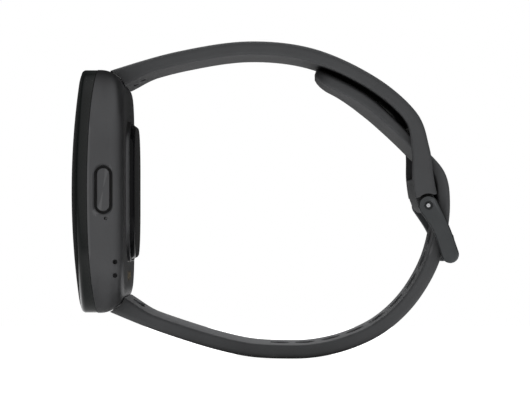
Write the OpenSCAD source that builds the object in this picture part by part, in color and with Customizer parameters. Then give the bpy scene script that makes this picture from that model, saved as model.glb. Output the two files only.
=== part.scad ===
/* [Case] */
// Length of the case, along the band
case_length = 40.5; // [40:0.1:41]
// Width of the case, across the band
case_width = 40; // [39.5:0.1:40.5]
// Corner radius of the case outline, seen from the front
case_corner_r = 10; // [9:0.5:10.5]
// Depth of the case, from its flat back to the top of the glass
case_depth = 9.4; // [9.2:0.1:9.8]
// How far the sensor bump stands out of the flat back
bump_height = 1.7; // [1.4:0.1:2]
// Side of the square sensor bump
bump_side = 22.6; // [22:0.1:23]

/* [Straps] */
// Width of both straps where they leave the case
strap_width = 22; // [21.8:0.1:22.4]
// Width of the long strap from the closure to its tip
tail_width = 18.6; // [18:0.1:18.8]
// Thickness of the straps away from their ends
strap_thickness = 2.4; // [2.2:0.05:2.5]
// Distance between two slots, along the inner face
slot_pitch = 4.3; // [4.2:0.1:4.6]
// Length of one slot, along the strap
slot_length = 3.0; // [2.8:0.1:3.1]
// Width of one slot, across the strap
slot_width = 5.6; // [5.2:0.1:6]
// Number of slots on the root side of the one that the peg is in
slots_below = 8; // [5:1:8]

/* [Closure] */
// Diameter of the hinge pin
pin_d = 1.0; // [0.9:0.05:1.1]
// Thickness of each arm of the loop, across the band
arm_thickness = 1.45; // [1.3:0.05:1.5]
// Radius of the round boss of each arm
boss_r = 1.65; // [1.5:0.05:1.7]
// Diameter of the peg, across its own axis
peg_d = 1.0; // [0.9:0.05:1.1]

/* [Side button] */
// Length of the button, along the case
button_length = 7.2; // [6.8:0.1:7.4]
// Width of the button, through the case's depth
button_width = 2.2; // [2:0.1:2.4]
// How far the button travels inwards
button_travel = 0.4; // [0.3:0.05:0.4]

/* [Hidden] */
$fn = 48;
cut = 0.1;          // how far a cutting shape runs past a face
far = 60;           // longer than any part

// The whole band, seen from the button's side: X runs from the display to the closure, Z is up.
half_width = case_width / 2;
half_length = case_length / 2;
case_back_x = -23.1;
case_mid_z = 28;

// The case's own frame: x along the band, y across it, z from the flat back to the glass.
back_round = 4.4;
side_round = 2.4;
rim_below_top = 3.43;
rim_z = case_depth - rim_below_top;
rim_bow_r = 162;
floor_t = 1.2;
cavity_x = 15.6;
cavity_y = 17.8;
cavity_r = 1.2;
pocket_length = 32;
pocket_width = 33;
pocket_r = 4;
pocket_top = 7.55;
gasket_t = 0.2;
gasket_inset = 0.6;
gasket_hole_length = 35;
gasket_hole_width = 36.4;
gasket_hole_r = 7;
panel_clear = 0.4;
panel_r = 5.5;
panel_low = 6.5;
panel_high = 7.5;
glass_inset = 0.1;
glass_edge_r = 0.5;
glass_shoulder_long = 7.5;
glass_shoulder_wide = 7.55;
dome_r = 126;
dome_cut = 0.15;    // the dome is flat in its middle, this far below where its curve would peak
arc_fn = 360;
DISPLAY_FLEX = [[13.2, 3.65], [15.4, 3.65], [15.4, 6.45], [13.2, 6.45],
    [13.2, 6.3], [15.25, 6.3], [15.25, 3.8], [13.2, 3.8]];
display_flex_half_w = 4;

// The sensor bump in the back
bump_r = 7;
bump_gap = 0.1;
collar_h = 0.6;      // a low collar of the case stands round the bump
collar_w = 0.5;
flange_side = bump_side + 2.4;
flange_r = bump_r + 1.2;
seal_t = 0.3;
flange_z = floor_t + seal_t;
flange_t = 0.5;
bump_edge = 0.45;   // width and height of the step around the bump's face
crystal_t = 0.8;
crystal_hollow = 18;
crystal_hollow_r = 5;
sensor_board_side = 17.4;
sensor_board_r = 4.6;
sensor_board_low = 1.3;
sensor_board_high = 1.8;
led_side = 1.6;
led_places = [-3.2, 3.2];
led_low = 0.7;
led_high = 1.3;

// Electronics, stacked on the tray
tray_z = 2.2;
tray_t = 0.5;
deck_z = 2.8;
board_t = 0.8;
board_top = deck_z + board_t;
tray_length = 30.6;
tray_width = 33;
tray_r = 5;
BATTERY_MID = [-6.7, 2];
battery_length = 15.4;
battery_width = 25;
battery_top = 6.2;
BOARD_MID = [8.9, 0];
board_length = 12.8;
board_width = 33.6;
CHIPS = [[6, -10.5, 6, 6, 0.9], [4, -2.6, 4, 5, 0.8], [9.4, -2.2, 2.6, 2.6, 0.7]];  // corner, then size
MOTOR_MID = [8.8, 10];
motor_r = 4;
motor_h = 2.3;
SPEAKER_CORNER = [-15.1, -17.3];
SPEAKER_SIZE = [7.2, 5.6, 2];
screw_places = [[13.7, 15.4], [13.7, -15.4], [3.9, 15.4], [3.9, -15.4]];
screw_shank_r = 0.5;
screw_gap = 0.02;
screw_hole_gap = 0.1;
screw_head_r = 1.1;
screw_head_h = 0.4;
screw_post_r = 1.3;
screw_start_z = 1.3;

// Side button, and the ports in the same side
button_x = 0.2;
button_z = 3.3;
seal_gap = 0.32;
seal_clear = 0.06;
pocket_y = -18.5;
stem_r = 0.55;
stem_gap = 0.08;
stem_end_y = -17.5;
button_face_y = -half_width + 0.02;
button_back_y = -19.0;
button_seal_from_y = -half_width + 0.45;
button_seal_to_y = -18.9;
clip_r = 1.0;
clip_gap = 0.04;
SWITCH_SIZE = [3, 1.2, 1.5];
switch_y = -16.8;
plunger_r = 0.4;
port_z = 1.35;
port_r = 0.4;
port_places = [-11.6, -13.8];
MESH_MID = [-12.65, 1.7];
MESH_SIZE = [3.5, 0.15, 0.9];
mic_x = -4.5;
mic_z = 2.9;
mic_r = 0.2;
MIC_SIZE = [2.6, 1.8, 1];
pad_places = [-4.5, -1.5, 1.5, 4.5];
pad_x = -14.2;
pad_r = 0.8;
pad_gap = 0.05;

// Outer face of each strap, from the case outwards, as [X, Z]
UPPER_FACE = [[-27.6, 47.4], [-24.6, 48.6], [-14.4, 51.45], [-2.8, 53.1], [8.25, 51.85], [18.5, 47.15],
    [25.35, 41.2], [27.5, 35.35], [28.2, 30.6], [28.75, 27.6]];
LOWER_FACE = [[-27.6, 8.6], [-24.8, 7.35], [-19.1, 5.05], [-13.4, 3.1], [-8.05, 1.5], [-2.7, 0.35],
    [2.8, 0], [8.5, 0.2], [14.4, 1.6], [20.0, 4.3], [24.7, 8.5], [28.25, 13.9], [30.25, 19.5],
    [31.05, 25.9], [30.1, 31.35], [25.75, 36.25], [21.95, 40.15], [18.25, 43.5], [14.3, 46.05],
    [8.8, 48.75]];
steps = 5;
root_flare = 1.0;
root_flare_length = 7;
root_flare_from = 2;
hinge_flare = 1.4;
hinge_flare_length = 16;
tail_extra = 0.8;
tail_extra_length = 34;
tip_taper = 0.9;
tip_taper_length = 12;
nose_depth = 1.7;
nose_length = 4;
taper_from_x = -14;
taper_to_x = 22;
taper_top_z = 20;
case_gap = 0.12;

// Root frame of each strap: where its middle meets the case, and the way it leaves
UPPER_ROOT = [-24.3, 47.45];
UPPER_ANGLE = 16;
LOWER_ROOT = [-24.4, 8.6];
LOWER_ANGLE = -21;
link_t = 1.4;
link_in_case = 3.2;
link_in_strap = 4.5;
link_half_w = 8.5;
link_gap = 0.05;
link_space_w = 2 * (link_half_w + link_gap);
link_space_t = link_t + 2 * link_gap;
key_along = 2.6;
key_w = 2.0;
key_l = 4.4;
key_low = -0.1;
key_high = 1.62;
key_gap = 0.12;
key_floor = -0.75;
key_reach = 4;

// Closure, in the [X, Z] plane
PIN = [27.2, 25.67];
KNEE = [29.4, 21.7];
ARM_END = [30.85, 17.5];
BAR_LOW = [31.35, 17.3];
BAR_HIGH = [31.0, 20.5];
knee_r = 1.38;
arm_end_r = 1.45;
bar_low_r = 0.9;
bar_high_r = 0.45;
notch_r = 2.0;
notch_depth = 1.55;
knuckle_r = 1.25;
knuckle_half_w = 9.4;
knuckle_top_inset = 0.4;
sleeve_r = 0.9;
pin_clear = 0.03;
pin_end_gap = 0.15;
counterbore_r = 0.75;
counterbore_depth = 0.8;
arm_inner_y = strap_width / 2 - arm_thickness;
window_low = 29.2;
window_high = 38.7;
window_half_w = arm_inner_y + 0.05;
window_r = 1.2;
window_from_x = 15;
window_foot = PIN[1] - 3;
KNUCKLE_SIDE = [[24.4, 29.2], [27.3, 29.2], [27.9, 28], [28.35, 26.2], [27.2, 25], [26, 24.9],
    [25, 27]];
KNUCKLE_TOP = [[24.4, 29.4], [27.3, 29.4], [27.75, 28.3], [27.75, 27.8], [24.8, 27.8]];
peg_slot_z = 20.6;
slot_step = 0.5;    // how far ahead a slot looks for the strap's direction
peg_reach = 2.3;
peg_half_w = 2.0;
PEG_BASE = [30.95, 20.5];
PEG_DIR = [-0.893, -0.449];

// Curves: a smooth line through the given points, and its running length
function between(a, b, c, d, t) =
    let (square_term = 2 * a - 5 * b + 4 * c - d, cube_term = 3 * b - a - 3 * c + d)
        0.5 * (2 * b + (c - a) * t + square_term * t * t + cube_term * t * t * t);
function smooth(p) = [
    for (i = [0 : len(p) - 2], k = [0 : steps - 1])
        between(p[max(i - 1, 0)], p[i], p[i + 1], p[min(i + 2, len(p) - 1)], k / steps),
    p[len(p) - 1]
];
function heading(p, i) =
    let (d = p[min(i + 1, len(p) - 1)] - p[max(i - 1, 0)]) d / norm(d);
function running(p) = [
    for (i = 0, s = 0; i < len(p); i = i + 1, s = s + (i < len(p) ? norm(p[i] - p[i - 1]) : 0)) s
];
function ease(t) = let (u = min(max(t, 0), 1)) u * u * (3 - 2 * u);

// The inner face of a strap lies at the strap's thickness from the outer one, on the given side
function inner_face(p, t, side) = [
    for (i = [0 : len(p) - 1])
        let (h = heading(p, i)) p[i] + t[i] * side * [-h[1], h[0]]
];
function root_extra(s) = root_flare * (1 - ease((s - root_flare_from) / root_flare_length));
function end_extra(s, total, amount, length) = amount * ease((s - total + length) / length);
// How much the rounded nose of the tip takes off, this far before the end
function nose_cut(left) =
    left > nose_length ? 0 : nose_depth * (1 - sqrt(1 - pow(1 - left / nose_length, 2)));

upper_face = smooth(UPPER_FACE);
upper_run = running(upper_face);
upper_total = upper_run[len(upper_run) - 1];
upper_inner = inner_face(upper_face, [
    for (s = upper_run)
        strap_thickness + root_extra(s) + end_extra(s, upper_total, hinge_flare, hinge_flare_length)
], -1);

lower_face = smooth(LOWER_FACE);
lower_run = running(lower_face);
lower_total = lower_run[len(lower_run) - 1];
lower_inner = inner_face(lower_face, [
    for (s = lower_run)
        strap_thickness + root_extra(s) + end_extra(s, lower_total, tail_extra, tail_extra_length)
            - end_extra(s, lower_total, tip_taper, tip_taper_length) - nose_cut(lower_total - s)
], 1);
lower_inner_run = running(lower_inner);

// Slots sit at even steps along the inner face, counted back from the one that the peg is in
function along(p, run, s, i = 0) =
    run[i + 1] >= s || i == len(p) - 2 ? p[i] + (p[i + 1] - p[i]) * (s - run[i]) / (run[i + 1] - run[i])
    : along(p, run, s, i + 1);
function run_at_height(p, run, z, i) =
    p[i + 1][1] >= z ? run[i] + (run[i + 1] - run[i]) * (z - p[i][1]) / (p[i + 1][1] - p[i][1])
    : run_at_height(p, run, z, i + 1);
lowest_step = 6 * steps;
peg_slot_run = run_at_height(lower_inner, lower_inner_run, peg_slot_z, lowest_step);
slot_runs = [for (k = [0 : slots_below]) peg_slot_run - k * slot_pitch];

// Flat shapes
module round_rect(length, width, r) {
    square([length - 2 * r, width], center = true);
    square([length, width - 2 * r], center = true);
    for (sx = [-1, 1], sy = [-1, 1])
        translate([sx * (length / 2 - r), sy * (width / 2 - r)]) circle(r);
}

// Two circles joined by their outer tangents
module link_shape(a, ra, b, rb) {
    d = norm(b - a);
    turn = atan2(b[1] - a[1], b[0] - a[0]);
    lean = acos((ra - rb) / d);
    translate(a) circle(ra);
    translate(b) circle(rb);
    polygon([for (q = [[a, ra, 1], [b, rb, 1], [b, rb, -1], [a, ra, -1]])
        q[0] + q[1] * [cos(turn + q[2] * lean), sin(turn + q[2] * lean)]]);
}
module pill(length, width) {
    r = width / 2;
    square([length - width, width], center = true);
    for (s = [-1, 1]) translate([s * (length / 2 - r), 0]) circle(r);
}

// Extrusions and frames
module across(half_w) {
    rotate([90, 0, 0]) linear_extrude(2 * half_w, center = true) children();
}
module across_from(y0, y1) {
    translate([0, y1, 0]) rotate([90, 0, 0]) linear_extrude(y1 - y0) children();
}
module slab(z0, z1) {
    translate([0, 0, z0]) linear_extrude(z1 - z0) children();
}
module in_case() {
    translate([case_back_x, 0, case_mid_z]) rotate([0, -90, 0]) children();
}
module in_root(root, angle) {
    translate([root[0], 0, root[1]]) rotate([0, -angle, 0]) children();
}

module on_pin(r, h) {
    translate([PIN[0], 0, PIN[1]]) rotate([90, 0, 0]) cylinder(r = r, h = h, center = true);
}

// A profile that is rounded at its lower corners and open upwards
module rounded_base(half_l, r, grow) {
    translate([-half_l - grow, r]) square([2 * (half_l + grow), far]);
    translate([-half_l + r, -grow]) square([2 * (half_l - r), far]);
    for (s = [-1, 1]) translate([s * (half_l - r), r]) circle(r + grow);
}

// A profile that is rounded at its upper corners and open downwards
module rounded_top(half_l, r, shoulder) {
    translate([-half_l, shoulder - far]) square([2 * half_l, far]);
    translate([-half_l + r, shoulder - far]) square([2 * (half_l - r), 2 * far]);
    for (s = [-1, 1]) translate([s * (half_l - r), shoulder]) circle(r);
}

// Everything below the bowed plane of the rim
module under_bow(z) {
    translate([0, 0, z - rim_bow_r]) rotate([90, 0, 0])
        cylinder(r = rim_bow_r, h = far, center = true, $fn = arc_fn);
}

module case_outline(grow) {
    round_rect(case_length + 2 * grow, case_width + 2 * grow, case_corner_r + grow);
}
module case_block(grow) {
    intersection() {
        slab(-grow, far / 2) case_outline(grow);
        across(far) rounded_base(half_length, back_round, grow);
        rotate([0, 0, 90]) across(far) rounded_base(half_width, side_round, grow);
    }
}

module button_outline(extra) {
    pill(button_length + 2 * extra, button_width + 2 * extra);
}
// Places a flat shape on the button's side of the case, extruded from y0 to y1
module on_side(x, z, y0, y1) {
    translate([x, 0, z]) across_from(y0, y1) children();
}

// Case
module case_frame() {
    color("#4b4b4d") in_case() {
        difference() {
            intersection() {
                case_block(0);
                under_bow(rim_z);
            }
            slab(floor_t, far) round_rect(2 * cavity_x, 2 * cavity_y, cavity_r);
            slab(-cut, floor_t + cut) bump_outline(bump_gap);
            for (y = pad_places) translate([pad_x, y]) slab(-cut, floor_t + cut) circle(pad_r + pad_gap);
            on_side(button_x, button_z, -half_width - cut, pocket_y) button_outline(seal_gap);
            on_side(button_x, button_z, pocket_y - cut, -cavity_y + cut) circle(stem_r + stem_gap);
            for (x = port_places) on_side(x, port_z, -half_width - cut, -cavity_y + cut) circle(port_r);
            on_side(mic_x, mic_z, -half_width - cut, -cavity_y + cut) circle(mic_r);
            strap_sockets();
        }
        difference() {
            slab(-collar_h, cut) bump_outline(collar_w);
            slab(-far, far) bump_outline(bump_gap);
        }
        for (p = screw_places)
            difference() {
                translate(p) slab(floor_t - cut, tray_z) circle(screw_post_r);
                translate(p) slab(floor_t, tray_z + cut) circle(screw_shank_r + screw_gap);
            }
    }
}

// Sockets at both ends of the case for the links of the straps, in the case's frame
module strap_sockets() {
    rotate([0, 90, 0]) translate([-case_back_x, 0, -case_mid_z]) {
        for (place = [[UPPER_ROOT, UPPER_ANGLE], [LOWER_ROOT, LOWER_ANGLE]])
            in_root(place[0], place[1])
                translate([-link_in_case - link_gap, -link_half_w - link_gap, -link_t / 2 - link_gap])
                    cube([link_in_case + far, link_space_w, link_space_t]);
    }
}

module display_glass() {
    color("#202422") in_case() difference() {
        intersection() {
            slab(0, case_depth) case_outline(-glass_inset);
            across(far) rounded_top(half_length - glass_inset, glass_edge_r, glass_shoulder_long);
            rotate([0, 0, 90]) across(far)
                rounded_top(half_width - glass_inset, glass_edge_r, glass_shoulder_wide);
            dome();
        }
        under_bow(rim_z + gasket_t);
        slab(0, pocket_top) round_rect(pocket_length, pocket_width, pocket_r);
    }
}
// Everything below the curve of the glass, which is part of a large sphere
module dome() {
    rotate_extrude($fn = arc_fn) intersection() {
        translate([0, case_depth + dome_cut - dome_r]) circle(dome_r, $fn = arc_fn);
        square([far, far]);
    }
}
module display_gasket() {
    color("#141414") in_case() difference() {
        intersection() {
            slab(floor_t, case_depth) case_outline(-gasket_inset);
            under_bow(rim_z + gasket_t);
        }
        under_bow(rim_z);
        slab(0, far) round_rect(gasket_hole_length, gasket_hole_width, gasket_hole_r);
    }
}
module display_panel() {
    color("#0a0d12") in_case() slab(panel_low, panel_high)
        round_rect(pocket_length - 2 * panel_clear, pocket_width - 2 * panel_clear, panel_r);
}
module display_flex() {
    color("#a86a2c") in_case() across(display_flex_half_w) polygon(DISPLAY_FLEX);
}

// Sensor bump
module square_outline(side, r) {
    round_rect(side, side, r);
}
module bump_outline(extra) {
    square_outline(bump_side + 2 * extra, bump_r + extra);
}
module back_crystal() {
    color("#101112") in_case() difference() {
        union() {
            slab(-bump_height, bump_edge - bump_height) bump_outline(-bump_edge);
            slab(bump_edge - bump_height, flange_z + cut) bump_outline(0);
            slab(flange_z, flange_z + flange_t) square_outline(flange_side, flange_r);
        }
        slab(crystal_t - bump_height, far) square_outline(crystal_hollow, crystal_hollow_r);
    }
}
module back_seal() {
    color("#1c1c1c") in_case() difference() {
        slab(floor_t, flange_z) square_outline(flange_side - 2 * bump_gap, flange_r - bump_gap);
        slab(0, far) bump_outline(seal_t);
    }
}
module sensor_board() {
    color("#1f5c3a") in_case()
        slab(sensor_board_low, sensor_board_high) square_outline(sensor_board_side, sensor_board_r);
}
module sensor_leds() {
    color("#7fbf6a") in_case()
        for (x = led_places, y = led_places)
            translate([x, y]) slab(led_low, led_high) square(led_side, center = true);
}
module charging_pads() {
    color("#c9a24a") in_case()
        for (y = pad_places) translate([pad_x, y, 0]) cylinder(r = pad_r, h = flange_z);
}

// Electronics
module screw_holes(r) {
    for (p = screw_places) translate(p) slab(0, far) circle(r);
}
module inner_tray() {
    color("#2e3033") in_case() difference() {
        slab(tray_z, tray_z + tray_t) round_rect(tray_length, tray_width, tray_r);
        screw_holes(screw_shank_r + screw_hole_gap);
    }
}
module battery() {
    color("#8d9094") in_case()
        translate(BATTERY_MID) slab(deck_z, battery_top) round_rect(battery_length, battery_width, 1);
}
module main_board() {
    color("#1d4f7a") in_case() difference() {
        translate(BOARD_MID) slab(deck_z, board_top) round_rect(board_length, board_width, 1.5);
        screw_holes(screw_shank_r + screw_hole_gap);
    }
}
module board_chips() {
    color("#26282b") in_case()
        for (c = CHIPS) translate([c[0], c[1], board_top]) cube([c[2], c[3], c[4]]);
}
module board_screws() {
    color("#b9bcc0") in_case()
        for (p = screw_places) translate(p) {
            slab(screw_start_z, board_top + cut) circle(screw_shank_r);
            slab(board_top, board_top + screw_head_h) circle(screw_head_r);
        }
}
module vibration_motor() {
    color("#b4b8bd") in_case()
        translate(MOTOR_MID) slab(board_top + link_gap, board_top + motor_h) circle(motor_r);
}
module speaker_module() {
    color("#34373b") in_case() translate([SPEAKER_CORNER[0], SPEAKER_CORNER[1], deck_z]) cube(SPEAKER_SIZE);
}
module port_mesh() {
    color("#55585c") in_case()
        translate([MESH_MID[0], MESH_SIZE[1] - cavity_y, MESH_MID[1]]) cube(MESH_SIZE, center = true);
}
module microphone() {
    color("#9a9da2") in_case()
        translate([mic_x - MIC_SIZE[0] / 2, cut - cavity_y, deck_z]) cube(MIC_SIZE);
}

// Side button
module side_button() {
    color("#46464a") in_case() {
        on_side(button_x, button_z, button_face_y, button_back_y) button_outline(0);
        on_side(button_x, button_z, button_back_y - cut, stem_end_y) circle(stem_r);
    }
}
module button_clip() {
    color("#b9bcc0") in_case()
        on_side(button_x, button_z, clip_gap - cavity_y, stem_end_y - clip_gap) difference() {
            circle(clip_r);
            circle(stem_r);
        }
}
module button_seal() {
    color("#0d0d0d") in_case()
        on_side(button_x, button_z, button_seal_from_y, button_seal_to_y) difference() {
            button_outline(seal_gap);
            button_outline(seal_clear);
        }
}
module button_switch() {
    color("#c2c4c8") in_case() {
        translate([button_x - SWITCH_SIZE[0] / 2, switch_y, deck_z]) cube(SWITCH_SIZE);
        on_side(button_x, button_z, stem_end_y + button_travel + link_gap, switch_y + cut) circle(plunger_r);
    }
}

// Straps
module key_outline(extra) {
    rotate(90) pill(key_l + 2 * extra, key_w + 2 * extra);
}
module link_solid(root, angle) {
    in_root(root, angle) difference() {
        translate([-link_in_case, -link_half_w, -link_t / 2])
            cube([link_in_case + link_in_strap, 2 * link_half_w, link_t]);
        translate([key_along, 0, 0]) slab(-far, far) key_outline(2 * key_gap);
    }
}
module link_space(root, angle) {
    in_root(root, angle)
        translate([-link_in_case, -link_half_w - link_gap, -link_t / 2 - link_gap])
            cube([link_in_case + link_in_strap + link_gap, link_space_w, link_space_t]);
}
// side is 1 where the wrist is below the strap's frame, -1 where it is above
module key_space(root, angle, side) {
    in_root(root, angle) translate([key_along, 0, 0]) mirror([0, 0, side > 0 ? 1 : 0])
        slab(key_floor, key_reach) key_outline(key_gap);
}
module key_solid(root, angle, side) {
    in_root(root, angle) translate([key_along, 0, 0]) mirror([0, 0, side > 0 ? 1 : 0])
        slab(key_low, key_high) key_outline(0);
}

module upper_strap() {
    last = len(upper_face) - 1;
    color("#454647") {
        difference() {
            across(strap_width / 2) polygon(concat(upper_face, [for (i = [last : -1 : 0]) upper_inner[i]]));
            in_case() case_block(case_gap);
            strap_window();
            for (s = [-1, 1]) translate([0, s * (strap_width / 2 + arm_thickness - notch_depth), 0])
                on_pin(notch_r, 2 * arm_thickness);
            link_space(UPPER_ROOT, UPPER_ANGLE);
            key_space(UPPER_ROOT, UPPER_ANGLE, 1);
        }
        difference() {
            union() {
                across(knuckle_half_w) polygon(KNUCKLE_SIDE);
                across(strap_width / 2 - knuckle_top_inset) polygon(KNUCKLE_TOP);
                on_pin(knuckle_r, 2 * knuckle_half_w);
            }
            on_pin(sleeve_r, far);
        }
    }
}
// The window that the tail passes through, open down to the knuckle
module strap_window() {
    translate([window_from_x, 0, (window_low + window_high) / 2]) rotate([90, 0, 90]) linear_extrude(far)
        round_rect(2 * window_half_w, window_high - window_low, window_r);
    translate([window_from_x, 0, 0]) slab(window_foot, window_low + window_r)
        translate([0, -window_half_w]) square([far, 2 * window_half_w]);
}
module upper_link() {
    color("#8a8d91") link_solid(UPPER_ROOT, UPPER_ANGLE);
}
module upper_release_key() {
    color("#9a9da1") key_solid(UPPER_ROOT, UPPER_ANGLE, 1);
}

module lower_strap() {
    last = len(lower_face) - 1;
    color("#454647") difference() {
        intersection() {
            across(strap_width / 2) polygon(concat(lower_face, [for (i = [last : -1 : 0]) lower_inner[i]]));
            strap_plan();
        }
        in_case() case_block(case_gap);
        for (s = slot_runs) strap_slot(s);
        link_space(LOWER_ROOT, LOWER_ANGLE);
        key_space(LOWER_ROOT, LOWER_ANGLE, -1);
    }
}
// The long strap narrows under the wrist, and keeps its width through the closure
module strap_plan() {
    root = strap_width / 2;
    tail = tail_width / 2;
    slab(-cut, taper_top_z + cut) for (m = [0, 1]) mirror([0, m])
        polygon([[-far, 0], [-far, root], [taper_from_x, root], [taper_to_x, tail], [far, tail], [far, 0]]);
    translate([0, -tail, taper_top_z]) cube([far, 2 * tail, far]);
}
module strap_slot(s) {
    p = along(lower_inner, lower_inner_run, s);
    q = along(lower_inner, lower_inner_run, s + slot_step);
    translate([p[0], 0, p[1]]) rotate([0, -atan2(q[1] - p[1], q[0] - p[0]), 0])
        slab(-2 * strap_thickness, strap_thickness) rotate(90) pill(slot_width, slot_length);
}
module lower_link() {
    color("#8a8d91") link_solid(LOWER_ROOT, LOWER_ANGLE);
}
module lower_release_key() {
    color("#9a9da1") key_solid(LOWER_ROOT, LOWER_ANGLE, -1);
}

// Closure
module hinge_sleeve() {
    color("#8a8d91") difference() {
        on_pin(sleeve_r, 2 * knuckle_half_w);
        on_pin(pin_d / 2 + pin_clear, far);
    }
}
module hinge_pin() {
    color("#d7d9dc") on_pin(pin_d / 2, strap_width - 2 * pin_end_gap);
}
module buckle_loop() {
    color("#53565a") difference() {
        union() {
            for (s = [-1, 1]) translate([0, s * (arm_inner_y + arm_thickness / 2), 0]) {
                across(arm_thickness / 2) link_shape(PIN, boss_r, KNEE, knee_r);
                across(arm_thickness / 2) link_shape(KNEE, knee_r, ARM_END, arm_end_r);
            }
            across(arm_inner_y + cut) link_shape(BAR_LOW, bar_low_r, BAR_HIGH, bar_high_r);
        }
        on_pin(pin_d / 2, far);
        for (s = [-1, 1]) translate([0, s * strap_width / 2, 0])
            on_pin(counterbore_r, 2 * counterbore_depth);
    }
}
module buckle_peg() {
    color("#b9bcc0") difference() {
        translate([PEG_BASE[0], 0, PEG_BASE[1]]) rotate([0, -atan2(PEG_DIR[1], PEG_DIR[0]), 0])
            translate([0, -peg_half_w, -peg_d / 2]) cube([peg_reach, 2 * peg_half_w, peg_d]);
        across(peg_half_w + cut) link_shape(BAR_LOW, bar_low_r, BAR_HIGH, bar_high_r);
    }
}

case_frame();
display_glass();
display_gasket();
display_panel();
display_flex();
back_crystal();
back_seal();
sensor_board();
sensor_leds();
charging_pads();
inner_tray();
battery();
main_board();
board_chips();
board_screws();
vibration_motor();
speaker_module();
port_mesh();
microphone();
side_button();
button_clip();
button_seal();
button_switch();
upper_strap();
upper_link();
upper_release_key();
lower_strap();
lower_link();
lower_release_key();
hinge_sleeve();
hinge_pin();
buckle_loop();
buckle_peg();
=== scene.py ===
"""A fitness tracker band, closed as if round a wrist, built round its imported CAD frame."""

import math

import bmesh
import bpy
from mathutils import Matrix, Vector


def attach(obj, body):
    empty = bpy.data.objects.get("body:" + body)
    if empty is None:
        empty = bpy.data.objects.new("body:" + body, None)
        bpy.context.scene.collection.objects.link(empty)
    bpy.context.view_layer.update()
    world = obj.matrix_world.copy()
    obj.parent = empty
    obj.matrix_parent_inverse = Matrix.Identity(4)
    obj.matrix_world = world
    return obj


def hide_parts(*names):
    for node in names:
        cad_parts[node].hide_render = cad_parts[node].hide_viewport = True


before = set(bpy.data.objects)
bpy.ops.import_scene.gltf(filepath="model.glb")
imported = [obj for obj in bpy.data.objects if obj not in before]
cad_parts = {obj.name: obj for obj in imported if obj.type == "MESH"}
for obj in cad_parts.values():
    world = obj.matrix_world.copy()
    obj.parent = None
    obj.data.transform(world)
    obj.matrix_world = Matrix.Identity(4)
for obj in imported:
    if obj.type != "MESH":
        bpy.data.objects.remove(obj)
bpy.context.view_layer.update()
scene = bpy.context.scene

# Everything is drawn in millimetres and scaled once its mesh is final.
MM = 0.001
MERGE = 1e-4

# Case, in its own frame: x along the band, y across it, z from the flat back to the glass
CASE_BACK_X = -23.1
CASE_MID_Z = 28.0
CASE_HALF_LENGTH = 20.25
CASE_HALF_WIDTH = 20.0
CASE_CORNER = 10.0
CASE_DEPTH = 9.4
END_ROUND = 4.4
SIDE_ROUND = 2.4
BACK_CORNER = 6.0
RIM_Z = 5.97
RIM_BOW = 162.0
RIM_EDGE = 0.07
FLOOR = 1.2
CAVITY = (15.6, 17.8, 1.2)
STRAP_GAP = 0.12
WALL_SHARES = (0.3, 0.6, 0.85)     # levels between the rounded back and the rim
BACK_SHARES = (0.35, 0.7, 0.92)    # levels between the bump's collar and the edge of the back
PAST = 0.1                         # how far a cutter runs past a face
CASE_TOOL_PAST = 4.0

# Glass
GASKET = 0.2
GLASS_FOOT = 0.05
GLASS_FOOT_WIDTH = (0.5, 0.56)
GLASS_INSET = 0.06
GLASS_EDGE = 0.45
DOME_R = 126.0
DOME_CUT = 0.15
DOME_BLEND = 0.08
ROLL_WIDTH = 2.4
ROLL_R = 8.2
GLASS_LEAST_CORNER = 0.3
GLASS_LEVELS = (18.0, 15.0, 12.0, 9.5, 7.5, 5.5, 4.0, 2.9, 2.2, 1.6, 1.1, 0.75)  # inwards from its edge
POCKET = (16.0, 16.5, 4.0)
POCKET_TOP = 7.55

# Sensor bump
BUMP_HALF = 11.3
BUMP_CORNER = 7.0
BUMP_HEIGHT = 1.7
BUMP_EDGE = 0.6
BUMP_CROWN = 0.3
BUMP_THICK = 0.8
BUMP_BELOW_COLLAR = 0.05
BUMP_LEVELS = (0.12, 0.3, 0.5, 0.68, 0.82, 0.92)
COLLAR_HEIGHT = 0.6
COLLAR_WIDTH = 0.5
COLLAR_EDGE = 0.14
COLLAR_FOOT = 0.1
BUMP_GAP = 0.1
BUMP_HOLLOW = (9.0, 9.0, 5.0)
FLANGE_GROW = 1.2
FLANGE = (1.5, 2.0)

# Button and ports in the case's side
BUTTON = (0.2, 3.3)
BUTTON_SIZE = (7.2, 2.2)
BUTTON_FACE_Y = -19.98
BUTTON_BACK_Y = -19.0
BUTTON_EDGE = 0.3
BUTTON_DOME = 0.05
BUTTON_LEVELS = (0.15, 0.4, 0.65, 0.85)
SEAL_GAP = 0.32
BUTTON_POCKET_Y = -18.5
STEM_R = 0.55
STEM_END_Y = -17.5
STEM_HOLE_R = 0.63
DISH = (0.36, 0.3)                 # how far a hole flares, and to what depth
PORT_R = 0.4
PORTS = ((-11.6, 1.35), (-13.8, 1.35))
PORT_DISH = (0.07, 0.1)
MIC = (-4.5, 2.9)
MIC_R = 0.2
MIC_DISH = (0.1, 0.12)
PAD_X = -14.2
PAD_YS = (-4.5, -1.5, 1.5, 4.5)
PAD_HOLE_R = 0.85

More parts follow.
